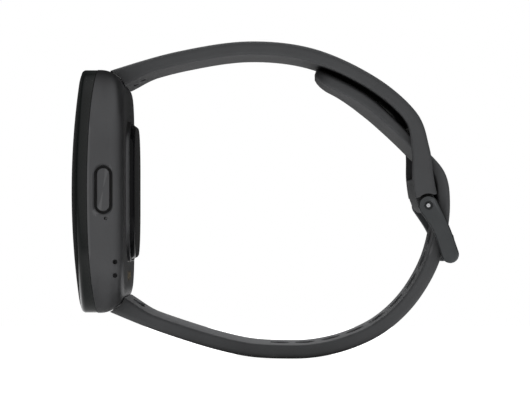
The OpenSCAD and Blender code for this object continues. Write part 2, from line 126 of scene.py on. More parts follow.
# Straps: outer faces as (X, Z), from the case outwards
UPPER_FACE = ((-27.6, 47.4), (-24.6, 48.6), (-14.4, 51.45), (-2.8, 53.1), (8.25, 51.85),
              (18.5, 47.15), (25.35, 41.2), (27.5, 35.35), (28.2, 30.6), (28.75, 27.6))
LOWER_FACE = ((-27.6, 8.6), (-24.8, 7.35), (-19.1, 5.05), (-13.4, 3.1), (-8.05, 1.5), (-2.7, 0.35),
              (2.8, 0.0), (8.5, 0.2), (14.4, 1.6), (20.0, 4.3), (24.7, 8.5), (28.25, 13.9),
              (30.25, 19.5), (31.05, 25.9), (30.1, 31.35), (25.75, 36.25), (21.95, 40.15),
              (18.25, 43.5), (14.3, 46.05), (8.8, 48.75))
CURVE_STEPS = 9
STRAP_HALF = 11.0
TAIL_HALF = 9.3
STRAP_THICK = 2.4
ROOT_FLARE = 1.0
ROOT_FLARE_FROM = 2.0
ROOT_FLARE_LENGTH = 7.0
HINGE_FLARE = 1.4
HINGE_FLARE_LENGTH = 16.0
TAIL_EXTRA = 0.8
TAIL_EXTRA_LENGTH = 34.0
TIP_TAPER = 0.9
TIP_TAPER_LENGTH = 12.0
NOSE = 1.7
NOSE_LENGTH = 4.0
TIP_ROUND = 4.0
TIP_LEAST = 0.02
TAPER_FROM_X = -14.0
TAPER_TO_X = 22.0
TAPER_TOP_Z = 20.0
TAIL_CROWN = 1.1
TAIL_CROWN_SHARES = (0.7, 0.82)    # where along the strap the tail's crown grows
OUTER_CROWN = 0.12
SIDE_R = 0.9
EDGE_SHARE = 0.94                  # the most of a strap's thickness that its two rounded edges take
INNER_SIDE_R = 0.6
TAIL_INNER_SIDE_R = 0.45
SLOT = (3.0, 5.6)
SLOT_PITCH = 4.3
SLOT_COUNT = 9
SLOT_BEVEL = 0.2
SLOT_PAST = 0.5
PEG_SLOT_Z = 20.6
LOWEST_X = 2.8

# Links and release keys at the straps' roots: place, angle, and which way the wrist lies
UPPER_ROOT = ((-24.3, 47.45), 16.0, -1)
LOWER_ROOT = ((-24.4, 8.6), -21.0, 1)
LINK_IN_CASE = 3.25
LINK_IN_STRAP = 4.55
LINK_HALF_WIDTH = 8.55
LINK_HALF_THICK = 0.75
LINK_CORNER = 0.3
LINK_PAST = 8.0
KEY_ALONG = 2.6
KEY_SPACE = (4.64, 2.24)
KEY_FLOOR = -0.75
KEY_REACH = 4.0

# Closure, as (X, Z)
PIN = (27.2, 25.67)
KNEE = (29.4, 21.7)
ARM_END = (30.85, 17.5)
ARM_RADII = (1.65, 1.38, 1.45)
ARM_OUTER_Y = 11.0
ARM_INNER_Y = 9.55
BAR = ((31.35, 17.3), (31.0, 20.5))
BAR_RADII = (0.9, 0.45)
BAR_IN_ARM = 0.2
ARM_CHAMFER = ((0.42, 0.0), (0.16, 0.1), (0.0, 0.34))    # inset of the outline, and depth from the face
PIN_R = 0.5
PIN_GAP = 0.005
PIN_HALF = 10.85
PIN_TURNED = ((0.06, 0.05), (0.01, 0.09), (0.0, 0.14), (0.02, 0.28), (0.08, 0.37), (0.3, PIN_R))
OUTSIDE_Y = 14.0
COUNTERBORE_R = 0.75
COUNTERBORE_DEPTH = 0.8
NOTCH_R = 2.0
NOTCH_DEPTH = 1.55
KNUCKLE_HALF = 9.4
KNUCKLE_EDGE = 0.15
KNUCKLE = ((24.6, 29.9), (27.25, 29.9), (27.7, 28.4), (28.2, 26.9), (28.1, 25.2),
           (27.2, 24.42), (26.0, 24.9), (25.05, 27.0), (24.6, 29.9))
SHOULDER = ((24.7, 30.1), (27.3, 30.1), (27.7, 28.5), (27.7, 27.9), (25.1, 27.9))
SHOULDER_INSET = 0.4
SLEEVE_R = 0.9
WINDOW_Z = (29.2, 38.7)
WINDOW_HALF = 9.6
WINDOW_R = 1.2
WINDOW_X = (15.0, 40.0)
WINDOW_FOOT = (26.9, 3.5, 0.2)     # middle, half height and corners of the opening below the window
PEG_BASE = (30.95, 20.5)
PEG_DIRECTION = (-0.893, -0.449)
PEG_FROM = 0.4
PEG_TO = 2.3
PEG_HALF = (2.0, 0.5)
PEG_NOSE = 0.3
PEG_CORNER = 0.3
PEG_NOSE_ANGLES = (25, 50, 70, 85)


# ---------------------------------------------------------------- curves

def ease(t):
    """A smooth step from 0 to 1."""
    u = min(max(t, 0.0), 1.0)
    return u * u * (3 - 2 * u)


def smooth_line(points, steps=CURVE_STEPS):
    """A smooth curve through the points."""
    p = [Vector(q) for q in points]
    last = len(p) - 1
    line = []
    for i in range(last):
        a, b, c, d = p[max(i - 1, 0)], p[i], p[i + 1], p[min(i + 2, last)]
        for k in range(steps):
            t = k / steps
            square = 2 * a - 5 * b + 4 * c - d
            cube = 3 * b - a - 3 * c + d
            line.append(0.5 * (2 * b + (c - a) * t + square * t * t + cube * t * t * t))
    return line + [p[last]]


def headings(line):
    """The unit direction of the line at each of its points."""
    last = len(line) - 1
    return [(line[min(i + 1, last)] - line[max(i - 1, 0)]).normalized() for i in range(last + 1)]


def running(line):
    """The length along the line at each of its points."""
    total = [0.0]
    for a, b in zip(line, line[1:]):
        total.append(total[-1] + (b - a).length)
    return total


# ---------------------------------------------------------------- frames

def in_case(x, y, z):
    """A point of the case's own frame, in the band's frame."""
    return Vector((CASE_BACK_X - z, y, CASE_MID_Z + x))


def root_frame(root):
    """The frame at a strap's root: along the strap, across it, away from its middle."""
    place, angle, _ = root
    turn = Matrix.Rotation(math.radians(-angle), 4, "Y")
    return Matrix.Translation((place[0], 0, place[1])) @ turn


# ---------------------------------------------------------------- outlines

def rounded_outline(half_x, half_y, radius, corner_steps=14, side_steps=18):
    """Points round a rounded rectangle. The same steps always give the same number of points."""
    corners = ((1, 1), (-1, 1), (-1, -1), (1, -1))

    def on_corner(turn, share):
        sx, sy = corners[turn % 4]
        a = math.radians(90 * (turn + share))
        return Vector((sx * (half_x - radius) + radius * math.cos(a),
                       sy * (half_y - radius) + radius * math.sin(a)))

    points = []
    for turn in range(4):
        points += [on_corner(turn, k / corner_steps) for k in range(corner_steps + 1)]
        start, end = points[-1], on_corner(turn + 1, 0)
        points += [start.lerp(end, k / side_steps) for k in range(1, side_steps)]
    return points


def pill_outline(length, width, grow=0.0, steps=14, side_steps=8):
    """Points round a pill shape that lies along its first axis."""
    r = width / 2 + grow
    reach = (length - width) / 2
    points = []
    for side in (1, -1):
        for k in range(steps + 1):
            a = math.radians(-90 + 180 * k / steps) + (0 if side > 0 else math.pi)
            points.append(Vector((side * reach + r * math.cos(a), r * math.sin(a))))
        ahead = Vector((-side * reach, side * r))
        points += [points[-1].lerp(ahead, k / side_steps) for k in range(1, side_steps)]
    return points


def circle_outline(radius, steps=40):
    """Points round a circle."""
    return [Vector((radius * math.cos(a), radius * math.sin(a)))
            for a in (2 * math.pi * k / steps for k in range(steps))]


def ribbon_outline(points, radii, inset=0.0, steps=8, cap_steps=12):
    """The outline of a bar that bends through the points and has those radii there."""
    line = smooth_line(points, steps)
    width = [r.x - inset for r in smooth_line([(r, 0) for r in radii], steps)]
    ways = headings(line)
    left = [c + w * Vector((-h.y, h.x)) for c, w, h in zip(line, width, ways)]
    right = [c - w * Vector((-h.y, h.x)) for c, w, h in zip(line, width, ways)]

    def cap(centre, radius, heading):
        base = math.atan2(heading.y, heading.x)
        turns = [base - math.pi / 2 + math.pi * k / cap_steps for k in range(1, cap_steps)]
        return [centre + radius * Vector((math.cos(a), math.sin(a))) for a in turns]

    return (right + cap(line[-1], width[-1], ways[-1]) + left[::-1]
            + cap(line[0], width[0], -ways[0]))


# ---------------------------------------------------------------- meshes

def loft(rings, closed=False):
    """Points and faces of a skin over rings of equal length, capped at both ends or joined up."""
    count = len(rings[0])
    verts = [p for ring in rings for p in ring]
    faces = []
    for r in range(len(rings) if closed else len(rings) - 1):
        a, b = r * count, ((r + 1) % len(rings)) * count
        for k in range(count):
            n = (k + 1) % count
            faces.append((a + k, a + n, b + n, b + k))
    if not closed:
        faces.append(tuple(range(count - 1, -1, -1)))
        top = (len(rings) - 1) * count
        faces.append(tuple(range(top, top + count)))
    return verts, faces


def new_object(name, verts, faces):
    """A mesh object in the scene, its faces turned outwards."""
    mesh = bpy.data.meshes.new(name)
    mesh.from_pydata([tuple(v) for v in verts], [], faces)
    shape = bmesh.new()
    shape.from_mesh(mesh)
    bmesh.ops.recalc_face_normals(shape, faces=shape.faces)
    shape.to_mesh(mesh)
    shape.free()
    obj = bpy.data.objects.new(name, mesh)
    scene.collection.objects.link(obj)
    return obj


def solid(name, rings, closed=False):
    """An object with a skin over the rings."""
    return new_object(name, *loft(rings, closed))


def prism(outlines_at, place, name="tool"):
    """A solid through outlines [(height, outline), ...], placed by place(u, v, height)."""
    return solid(name, [[place(p.x, p.y, h) for p in outline] for h, outline in outlines_at])


def combine(piece, tool, operation):
    """Cuts the tool out of the piece, or joins it on, and removes the tool."""
    step = piece.modifiers.new(operation, "BOOLEAN")
    step.operation = operation
    step.object = tool
    step.solver = "EXACT"
    evaluated = piece.evaluated_get(bpy.context.evaluated_depsgraph_get())
    mesh = bpy.data.meshes.new_from_object(evaluated)
    piece.modifiers.clear()
    piece.data = mesh
    bpy.data.objects.remove(tool)


def cut(piece, tool):
    combine(piece, tool, "DIFFERENCE")


def join(piece, tool):
    combine(piece, tool, "UNION")


def finish_piece(piece, body, material, replaced=(), sharp=32):
    """Scales a piece to metres, shades it, and hands it to the frame."""
    mesh = piece.data
    shape = bmesh.new()
    shape.from_mesh(mesh)
    bmesh.ops.remove_doubles(shape, verts=shape.verts, dist=MERGE)
    bmesh.ops.dissolve_degenerate(shape, edges=shape.edges, dist=MERGE)
    bmesh.ops.recalc_face_normals(shape, faces=shape.faces)
    shape.to_mesh(mesh)
    shape.free()
    mesh.transform(Matrix.Scale(MM, 4))
    mesh.materials.clear()
    mesh.materials.append(material)
    for polygon in mesh.polygons:
        polygon.material_index = 0
        polygon.use_smooth = True
    mesh.set_sharp_from_angle(angle=math.radians(sharp))
    weighted = piece.modifiers.new("even_normals", "WEIGHTED_NORMAL")
    weighted.keep_sharp = True
    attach(piece, body)
    if replaced:
        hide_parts(*replaced)
    return piece


# ---------------------------------------------------------------- materials

NOISE_RANGE = (0.3, 0.7)           # the part of the noise's range that most of it falls in
EDGE_RANGE = (0.53, 0.6)           # pointiness from which an edge wears, and where it is fully worn
COAT_ROUGH = 0.06
LEAST_ROUGH = 0.02
# samples for the painted shade in slots and narrow gaps
PAINTED_SHADE_SAMPLES = 8


def noise(tree, where, scale, detail):
    """Noise over the object's own coordinates."""
    texture = tree.nodes.new("ShaderNodeTexNoise")
    texture.inputs["Scale"].default_value = scale
    texture.inputs["Detail"].default_value = detail
    tree.links.new(where, texture.inputs["Vector"])
    return texture.outputs["Fac"]


def blotched(tree, colour, broad, amount):
    """The colour, a little darker and lighter in blotches."""
    shade = tree.nodes.new("ShaderNodeValToRGB")
    low, high = shade.color_ramp.elements
    low.position, high.position = NOISE_RANGE
    low.color = (*[c * (1 - amount) for c in colour], 1)
    high.color = (*[c * (1 + amount) for c in colour], 1)
    tree.links.new(broad, shade.inputs["Fac"])
    return shade.outputs["Color"]


def mixed(tree, share, a, b):
    """Colour a turning into colour b; each is a plain colour or another node's output."""
    mix = tree.nodes.new("ShaderNodeMix")
    mix.data_type = "RGBA"
    tree.links.new(share, mix.inputs["Factor"])
    for name, colour in (("A", a), ("B", b)):
        if isinstance(colour, tuple):
            mix.inputs[name].default_value = (*colour, 1)
        else:
            tree.links.new(colour, mix.inputs[name])
    return mix.outputs["Result"]


def mapped(tree, value, from_range, to_range):
    """The value carried from one range to the other."""
    step = tree.nodes.new("ShaderNodeMapRange")
    step.inputs["From Min"].default_value, step.inputs["From Max"].default_value = from_range
    step.inputs["To Min"].default_value, step.inputs["To Max"].default_value = to_range
    tree.links.new(value, step.inputs["Value"])
    return step.outputs["Result"]


def edge_wear(tree, broad, amount):
    """How far sharp edges are rubbed, in blotches."""
    geometry = tree.nodes.new("ShaderNodeNewGeometry")
    edge = mapped(tree, geometry.outputs["Pointiness"], EDGE_RANGE, (0, amount))
    rubbed = tree.nodes.new("ShaderNodeMath")
    rubbed.operation = "MULTIPLY"
    tree.links.new(edge, rubbed.inputs[0])
    tree.links.new(broad, rubbed.inputs[1])
    return rubbed.outputs["Value"]


def painted_shade_openness(tree, reach):
    """How open the surface lies, for painted shade: low in slots and in gaps narrower than the reach,
    in metres.
    """
    near = tree.nodes.new("ShaderNodeAmbientOcclusion")
    near.samples = PAINTED_SHADE_SAMPLES
    near.inputs["Distance"].default_value = reach
    return near.outputs["AO"]


def relief(tree, fine, strength, depth):
    """A bumped normal from the fine noise."""
    bumps = tree.nodes.new("ShaderNodeBump")
    bumps.inputs["Strength"].default_value = strength
    bumps.inputs["Distance"].default_value = depth
    tree.links.new(fine, bumps.inputs["Height"])
    return bumps.outputs["Normal"]


def node_material(name, colour, rough, metallic=0.0, specular=0.5, coat=0.0,
                  blotch=250.0, blotch_amount=0.12, grain=5000.0, rough_amount=0.08,
                  bump=0.15, bump_depth=0.00001, wear=(0.0, 0.0, 0.0), wear_amount=0.0,
                  stretch=(1.0, 1.0, 1.0), painted_shade_reach=0.0):
    """A procedural finish: blotches of colour, fine grain in roughness and bump, worn edges.

    Given a reach, a distance in metres, shade is painted into slots and narrow gaps: ambient occlusion
    darkens their colour towards black."""
    material = bpy.data.materials.new(name)
    material.use_nodes = True
    tree = material.node_tree
    shader = tree.nodes["Principled BSDF"]
    shader.inputs["Metallic"].default_value = metallic
    shader.inputs["Specular IOR Level"].default_value = specular
    shader.inputs["Coat Weight"].default_value = coat
    shader.inputs["Coat Roughness"].default_value = COAT_ROUGH

    where = tree.nodes.new("ShaderNodeTexCoord")
    mapping = tree.nodes.new("ShaderNodeMapping")
    mapping.inputs["Scale"].default_value = stretch
    tree.links.new(where.outputs["Object"], mapping.inputs["Vector"])
    broad = noise(tree, mapping.outputs["Vector"], blotch, 4.0)
    fine = noise(tree, mapping.outputs["Vector"], grain, 3.0)

    base = mixed(tree, edge_wear(tree, broad, wear_amount),
                 blotched(tree, colour, broad, blotch_amount), wear)
    # painted shade: the colour is darkened towards black in slots and narrow gaps, by ambient occlusion
    if painted_shade_reach:
        base = mixed(tree, painted_shade_openness(tree, painted_shade_reach), (0, 0, 0), base)
    roughness = mapped(tree, fine, NOISE_RANGE,
                       (max(rough - rough_amount, LEAST_ROUGH), rough + rough_amount))
    tree.links.new(base, shader.inputs["Base Color"])
    tree.links.new(roughness, shader.inputs["Roughness"])
    tree.links.new(relief(tree, fine, bump, bump_depth), shader.inputs["Normal"])
    return material


# the rubber gets painted shade in its slots and in the narrow gap between the tail and the upper strap
RUBBER = node_material("strap_rubber", (0.047, 0.048, 0.05), 0.6, specular=0.3,
                       blotch=180, blotch_amount=0.07, grain=5200, rough_amount=0.07, bump=0.35,
                       bump_depth=0.00002, wear=(0.12, 0.12, 0.122), wear_amount=0.5, painted_shade_reach=0.007)
CASE_METAL = node_material("frame_metal", (0.135, 0.136, 0.14), 0.4, metallic=1.0,
                           blotch=120, blotch_amount=0.06, grain=9000, rough_amount=0.06, bump=0.25,
                           bump_depth=0.000006, wear=(0.34, 0.34, 0.345), wear_amount=0.5)
GLASS = node_material("display_glass", (0.0035, 0.0045, 0.0042), 0.07, specular=0.42,
                      blotch=60, blotch_amount=0.15, grain=400, rough_amount=0.02, bump=0.02,
                      bump_depth=0.000004, wear=(0.03, 0.03, 0.03), wear_amount=0.3)
CRYSTAL = node_material("sensor_crystal", (0.004, 0.004, 0.0045), 0.09, specular=0.15,
                        blotch=90, blotch_amount=0.2, grain=500, rough_amount=0.03, bump=0.02,
                        bump_depth=0.000004, wear=(0.02, 0.02, 0.02), wear_amount=0.3)
SEAL = node_material("gasket_black", (0.008, 0.008, 0.008), 0.75, specular=0.3,
                     blotch=600, grain=7000, bump=0.3, bump_depth=0.00001)
BUCKLE_METAL = node_material("buckle_metal", (0.105, 0.11, 0.113), 0.4, metallic=1.0,
                             blotch=200, blotch_amount=0.07, grain=9000, rough_amount=0.06, bump=0.25,
                             bump_depth=0.000006, wear=(0.24, 0.25, 0.26), wear_amount=0.8)
PIN_STEEL = node_material("pin_steel", (0.8, 0.81, 0.83), 0.25, metallic=1.0,
                          blotch=700, blotch_amount=0.06, grain=6000, rough_amount=0.08, bump=0.15,
                          bump_depth=0.000008, wear=(0.95, 0.95, 0.96), wear_amount=0.4)
STEEL = node_material("steel", (0.58, 0.59, 0.6), 0.34, metallic=1.0,
                      blotch=600, blotch_amount=0.08, grain=4000, rough_amount=0.1, bump=0.2,
                      bump_depth=0.00001, wear=(0.8, 0.8, 0.81), wear_amount=0.5,
                      stretch=(1, 0.15, 1))
PANEL = node_material("panel_black", (0.005, 0.006, 0.009), 0.2, blotch=150, grain=1500)
FLEX = node_material("flex_amber", (0.36, 0.15, 0.03), 0.42, blotch=400, grain=2500)
BOARD_GREEN = node_material("board_green", (0.02, 0.12, 0.05), 0.45, blotch=900, grain=3000)
LED = node_material("led_green", (0.2, 0.5, 0.15), 0.2, coat=0.5, blotch=1500, grain=3000)
GOLD = node_material("gold", (0.78, 0.56, 0.24), 0.28, metallic=1.0, blotch=900, grain=4000,
                     wear=(0.9, 0.75, 0.45), wear_amount=0.5)
TRAY = node_material("tray_plastic", (0.03, 0.032, 0.035), 0.55, blotch=300, grain=4000)
FOIL = node_material("battery_foil", (0.3, 0.31, 0.33), 0.4, metallic=0.6, blotch=500,
                     blotch_amount=0.2, grain=1800, bump=0.3, bump_depth=0.00003)
BOARD_BLUE = node_material("board_blue", (0.02, 0.08, 0.2), 0.45, blotch=900, grain=3000)
CHIP = node_material("chip_black", (0.02, 0.02, 0.022), 0.5, blotch=900, grain=6000)
MODULE = node_material("module_grey", (0.04, 0.042, 0.045), 0.5, blotch=500, grain=4000)
MESH_GREY = node_material("mesh_grey", (0.1, 0.1, 0.105), 0.45, metallic=0.7, blotch=1500,
                          blotch_amount=0.3, grain=6000, bump=0.6, bump_depth=0.00003)


# ---------------------------------------------------------------- case

def end_inset(z):
    """How far the rounded ends have drawn in at height z above the flat back."""
    return END_ROUND - math.sqrt(max(END_ROUND ** 2 - (END_ROUND - min(z, END_ROUND)) ** 2, 0))


def side_inset(z):
    return SIDE_ROUND - math.sqrt(max(SIDE_ROUND ** 2 - (SIDE_ROUND - min(z, SIDE_ROUND)) ** 2, 0))


def rim_height(x):
    """The bowed rim, lower towards the ends of the case."""
    return RIM_Z - x * x / (2 * RIM_BOW)


def case_outline(z, grow=0.0):
    corner = BACK_CORNER + (CASE_CORNER - BACK_CORNER) * ease(z / END_ROUND)
    return rounded_outline(CASE_HALF_LENGTH - end_inset(z) + grow,
                           CASE_HALF_WIDTH - side_inset(z) + grow, corner + grow)


def outer_levels(steps=18):
    return [END_ROUND * (1 - math.cos(math.radians(90 * k / steps))) for k in range(steps + 1)]


def case_skin(grow=0.0):
    """Rings of the case's outside, from the edge of its back up to its rim."""
    rings = [[in_case(p.x, p.y, z - grow) for p in case_outline(z, grow)] for z in outer_levels()]
    side = case_outline(END_ROUND, grow)
    for share in WALL_SHARES:
        rings.append([in_case(p.x, p.y, END_ROUND + share * (rim_height(p.x) - END_ROUND))
                      for p in side])
    return rings


def side_tool(x, z, outlines):
    """A cutter from the button's side of the case: outlines as [(y, outline), ...]."""
    return prism(outlines, lambda u, v, y: in_case(x + u, y, z + v))


def dished(outline_at, inner_y, dish):
    """Outlines of a hole that opens out in a shallow dish towards the case's side face."""
    flare, depth = dish
    face = -CASE_HALF_WIDTH
    return [(face - 0.5, outline_at(1.02 * flare)),
            (face, outline_at(flare)),
            (face + 0.55 * depth, outline_at(0.3 * flare)),
            (face + depth, outline_at(0)),
            (inner_y, outline_at(0))]


def link_tool(root, to_along):
    """A cutter for the flat link between case and strap, up to a distance along the strap."""
    place = root_frame(root)
    outline = rounded_outline((to_along + LINK_IN_CASE) / 2, LINK_HALF_WIDTH, LINK_CORNER, 3, 1)
    middle = (to_along - LINK_IN_CASE) / 2
    return prism([(-LINK_HALF_THICK, outline), (LINK_HALF_THICK, outline)],
                 lambda u, v, h: place @ Vector((middle + u, v, h)))


def bump_outline(grow):
    """The outline of the sensor bump, grown or shrunk by a distance."""
    return rounded_outline(BUMP_HALF + grow, BUMP_HALF + grow, BUMP_CORNER + grow)


def collar_levels():
    """How far the collar round the bump has grown from the bump's outline, at each height."""
    return ((BUMP_GAP, COLLAR_EDGE / 2 - COLLAR_HEIGHT),
            (BUMP_GAP + COLLAR_EDGE / 2, -COLLAR_HEIGHT),
            (COLLAR_WIDTH - COLLAR_EDGE, -COLLAR_HEIGHT),
            (COLLAR_WIDTH, COLLAR_EDGE - COLLAR_HEIGHT),
            (COLLAR_WIDTH, -COLLAR_FOOT),
            (COLLAR_WIDTH + 0.3 * COLLAR_FOOT, -0.3 * COLLAR_FOOT),
            (COLLAR_WIDTH + COLLAR_FOOT, 0))


def case_shell():
    """The case as one closed skin: collar, flat back, outside, rim, and the cavity's walls."""
    cavity = rounded_outline(*CAVITY)
    inner_rim = rounded_outline(CASE_HALF_LENGTH - RIM_EDGE, CASE_HALF_WIDTH - RIM_EDGE,
                                CASE_CORNER - RIM_EDGE)
    rings = [[in_case(p.x, p.y, FLOOR) for p in bump_outline(BUMP_GAP)]]
    for grow, height in collar_levels():
        rings.append([in_case(p.x, p.y, height) for p in bump_outline(grow)])
    for share in BACK_SHARES:
        rings.append([in_case(*p.lerp(q, share), 0)
                      for p, q in zip(bump_outline(COLLAR_WIDTH), case_outline(0))])
    rings += case_skin()
    rings.append([in_case(p.x, p.y, rim_height(p.x) - RIM_EDGE) for p in case_outline(END_ROUND)])
    rings.append([in_case(p.x, p.y, rim_height(p.x)) for p in inner_rim])
    rings.append([in_case(p.x, p.y, rim_height(p.x)) for p in cavity])
    rings.append([in_case(p.x, p.y, FLOOR) for p in cavity])
    return solid("case_shell", rings, closed=True)


def button_hole(grow):
    return pill_outline(*BUTTON_SIZE, SEAL_GAP + grow)


def port_hole(grow):
    return circle_outline(PORT_R + grow)


def mic_hole(grow):
    return circle_outline(MIC_R + grow, 24)


def make_case():
    case = case_shell()
    cavity_y = PAST - CAVITY[1]
    stem_hole = circle_outline(STEM_HOLE_R)
    pad_hole = circle_outline(PAD_HOLE_R)
    cut(case, side_tool(*BUTTON, dished(button_hole, BUTTON_POCKET_Y, DISH)))
    cut(case, side_tool(*BUTTON, [(BUTTON_POCKET_Y - PAST, stem_hole), (cavity_y, stem_hole)]))
    for x, z in PORTS:
        cut(case, side_tool(x, z, dished(port_hole, cavity_y, PORT_DISH)))
    cut(case, side_tool(*MIC, dished(mic_hole, cavity_y, MIC_DISH)))
    for y in PAD_YS:
        cut(case, prism([(-PAST, pad_hole), (FLOOR + PAST, pad_hole)],
                        lambda u, v, h: in_case(PAD_X + u, y + v, h)))
    for root in (UPPER_ROOT, LOWER_ROOT):
        cut(case, link_tool(root, LINK_PAST))
    finish_piece(case, "band", CASE_METAL, ["case_frame"], sharp=24)


def glass_top(x, y, from_edge):
    """The height of the glass at a point that far inside its outline: a dome that rolls off."""
    fall = (x * x + y * y) / (2 * DOME_R) - DOME_CUT
    fall = (fall + math.hypot(fall, DOME_BLEND)) / 2
    roll = max(ROLL_WIDTH - from_edge, 0.0) ** 2 / (2 * ROLL_R)
    return CASE_DEPTH - fall - roll


def make_glass():
    """The domed glass, with a thin foot round its edge and the display's pocket behind it."""
    half_x, half_y = CASE_HALF_LENGTH - GLASS_INSET, CASE_HALF_WIDTH - GLASS_INSET
    corner = CASE_CORNER - GLASS_INSET

    def outline(draw_in):
        return rounded_outline(half_x - draw_in, half_y - draw_in,
                               max(corner - draw_in, GLASS_LEAST_CORNER))

    rings = []
    for draw_in in GLASS_LEVELS:
        rings.append([in_case(p.x, p.y, glass_top(p.x, p.y, draw_in)) for p in outline(draw_in)])
    steps = 8
    for k in range(steps + 1):
        a = math.radians(90 * k / steps)
        draw_in = GLASS_EDGE * (1 - math.sin(a))
        drop = GLASS_EDGE * (1 - math.cos(a))
        rings.append([in_case(p.x, p.y, glass_top(p.x, p.y, draw_in) - drop) for p in outline(draw_in)])
    pocket = rounded_outline(*POCKET)
    foot_in, gasket_in = GLASS_FOOT_WIDTH
    for height, around in ((GLASS_FOOT, outline(0)), (GLASS_FOOT, outline(foot_in)),
                           (GASKET, outline(gasket_in)), (GASKET, pocket)):
        rings.append([in_case(p.x, p.y, rim_height(p.x) + height) for p in around])
    rings.append([in_case(p.x, p.y, POCKET_TOP) for p in pocket])
    glass = solid("cover_glass", rings)
    finish_piece(glass, "band", GLASS, ["display_glass"], sharp=40)


def make_bump():
    """The crowned sensor bump, with a flange that holds it behind the case's floor."""
    rings = []
    start = COLLAR_HEIGHT - BUMP_BELOW_COLLAR
    top = BUMP_HEIGHT - BUMP_CROWN
    for share in BUMP_LEVELS:
        height = -top - BUMP_CROWN * (1 - share * share)
        half = (BUMP_HALF - BUMP_EDGE) * share
        inner = rounded_outline(half, half, (BUMP_CORNER - BUMP_EDGE) * share)
        rings.append([in_case(p.x, p.y, height) for p in inner])
    steps = 8
    for k in range(steps + 1):
        a = math.radians(90 * k / steps)
        rings.append([in_case(p.x, p.y, -top + (top - start) * (1 - math.cos(a)))
                      for p in bump_outline(-BUMP_EDGE * (1 - math.sin(a)))])
    for height, grow in ((FLANGE[0], 0), (FLANGE[0], FLANGE_GROW), (FLANGE[1], FLANGE_GROW)):
        rings.append([in_case(p.x, p.y, height) for p in bump_outline(grow)])
    hollow = rounded_outline(*BUMP_HOLLOW)
    rings.append([in_case(p.x, p.y, FLANGE[1]) for p in hollow])
    rings.append([in_case(p.x, p.y, BUMP_THICK - BUMP_HEIGHT) for p in hollow])
    bump = solid("sensor_window", rings)
    finish_piece(bump, "band", CRYSTAL, ["back_crystal"], sharp=50)


def make_button():
    """The button's cap, a little domed, with the stem that reaches through the case's wall."""
    x, z = BUTTON
    rings = []

    def add(y, outline):
        rings.append([in_case(x + p.x, y, z + p.y) for p in outline])

    for share in BUTTON_LEVELS:
        add(BUTTON_FACE_Y + BUTTON_DOME * share * share,
            [p * share for p in pill_outline(*BUTTON_SIZE, -BUTTON_EDGE)])
    steps = 6
    for k in range(steps + 1):
        a = math.radians(90 * k / steps)
        add(BUTTON_FACE_Y + BUTTON_DOME + BUTTON_EDGE * (1 - math.cos(a)),
            pill_outline(*BUTTON_SIZE, -BUTTON_EDGE * (1 - math.sin(a))))
    add(BUTTON_BACK_Y, pill_outline(*BUTTON_SIZE))
    add(BUTTON_BACK_Y, pill_outline(2 * STEM_R, 2 * STEM_R))
    add(STEM_END_Y, pill_outline(2 * STEM_R, 2 * STEM_R))
    button = solid("button_cap", rings)
    finish_piece(button, "button", CASE_METAL, ["side_button"])


# ---------------------------------------------------------------- straps

def section(half_width, thick, crowns, outer_edge, inner_edge, arc=7, flat=10, wall=3):
    """Points (y, depth) round a strap: depth 0 is the outer face, and the sides are rounded."""
    outer_crown, inner_crown = crowns
    edges = outer_edge + inner_edge
    shrink = min(1, EDGE_SHARE * thick / edges, half_width / edges)
    corners = ((1, 1, 0), (-1, 1, 90), (-1, -1, 180), (1, -1, 270))

    def on_corner(corner, degrees):
        sy, sd, _ = corner
        r = (inner_edge if sd > 0 else outer_edge) * shrink
        cy, cd = sy * (half_width - r), thick / 2 + sd * (thick / 2 - r)
        a = math.radians(degrees)
        return cy + r * math.cos(a), cd + r * math.sin(a)

    points = []
    for corner, following in zip(corners, corners[1:] + corners[:1]):
        points += [on_corner(corner, corner[2] + 90 * k / arc) for k in range(arc + 1)]
        start = points[-1]
        end = on_corner(following, following[2])
        count = flat if corner[0] * corner[1] > 0 else wall
        for k in range(1, count):
            t = k / count
            points.append((start[0] + (end[0] - start[0]) * t, start[1] + (end[1] - start[1]) * t))
    return [(y, d + (y / half_width) ** 2 * (outer_crown * (1 - d / thick) - inner_crown * d / thick))
            for y, d in points]


def strap_body(name, face, side, thick_at, half_at, crowns_at, inner_edge_at):
    """A strap swept along its outer face; side says on which hand its inner face lies."""
    line = smooth_line(face)
    lengths = running(line)
    total = lengths[-1]
    rings = []
    for p, h, s in zip(line, headings(line), lengths):
        inward = side * Vector((-h.y, h.x))
        ring = section(half_at(s, p, total), thick_at(s, total), crowns_at(s, total), SIDE_R,
                       inner_edge_at(s, total))
        rings.append([Vector((p.x + inward.x * d, y, p.y + inward.y * d)) for y, d in ring])
    return solid(name, rings)


def case_tool():
    """The case's outside, a little larger, to hollow the strap's root with."""
    rings = case_skin(STRAP_GAP)
    top = case_outline(END_ROUND, STRAP_GAP)
    rings.append([in_case(p.x, p.y, CASE_DEPTH + CASE_TOOL_PAST) for p in top])
    return solid("tool", rings)


def key_tool(root):
    """A cutter for a release key's place in the strap."""
    place = root_frame(root)
    side = root[2]
    outline = [Vector((p.y, p.x)) for p in pill_outline(*KEY_SPACE)]
    heights = [(side * KEY_FLOOR, outline), (side * KEY_REACH, outline)]
    return prism(heights, lambda u, v, h: place @ Vector((KEY_ALONG + u, v, h)))


def cut_root(strap, root):
    """Makes room in a strap's root for the case, the link and the release key."""
    cut(strap, case_tool())
    cut(strap, link_tool(root, LINK_IN_STRAP))
    cut(strap, key_tool(root))


def root_extra(s):
    """How much thicker a strap is near the case."""
    return ROOT_FLARE * (1 - ease((s - ROOT_FLARE_FROM) / ROOT_FLARE_LENGTH))


def end_share(s, total, length):
    """0 until that far before the strap's end, then smoothly up to 1."""
    return ease((s - total + length) / length)


def on_pin(radius, low, high, steps=48):
    """A cylinder round the hinge's axis."""
    return prism([(low, circle_outline(radius, steps)), (high, circle_outline(radius, steps))],
                 lambda u, v, y: Vector((PIN[0] + u, y, PIN[1] + v)))


def on_side_plane(u, v, y):
    """A point of a profile drawn as (X, Z), at that place across the band."""
    return Vector((u, y, v))


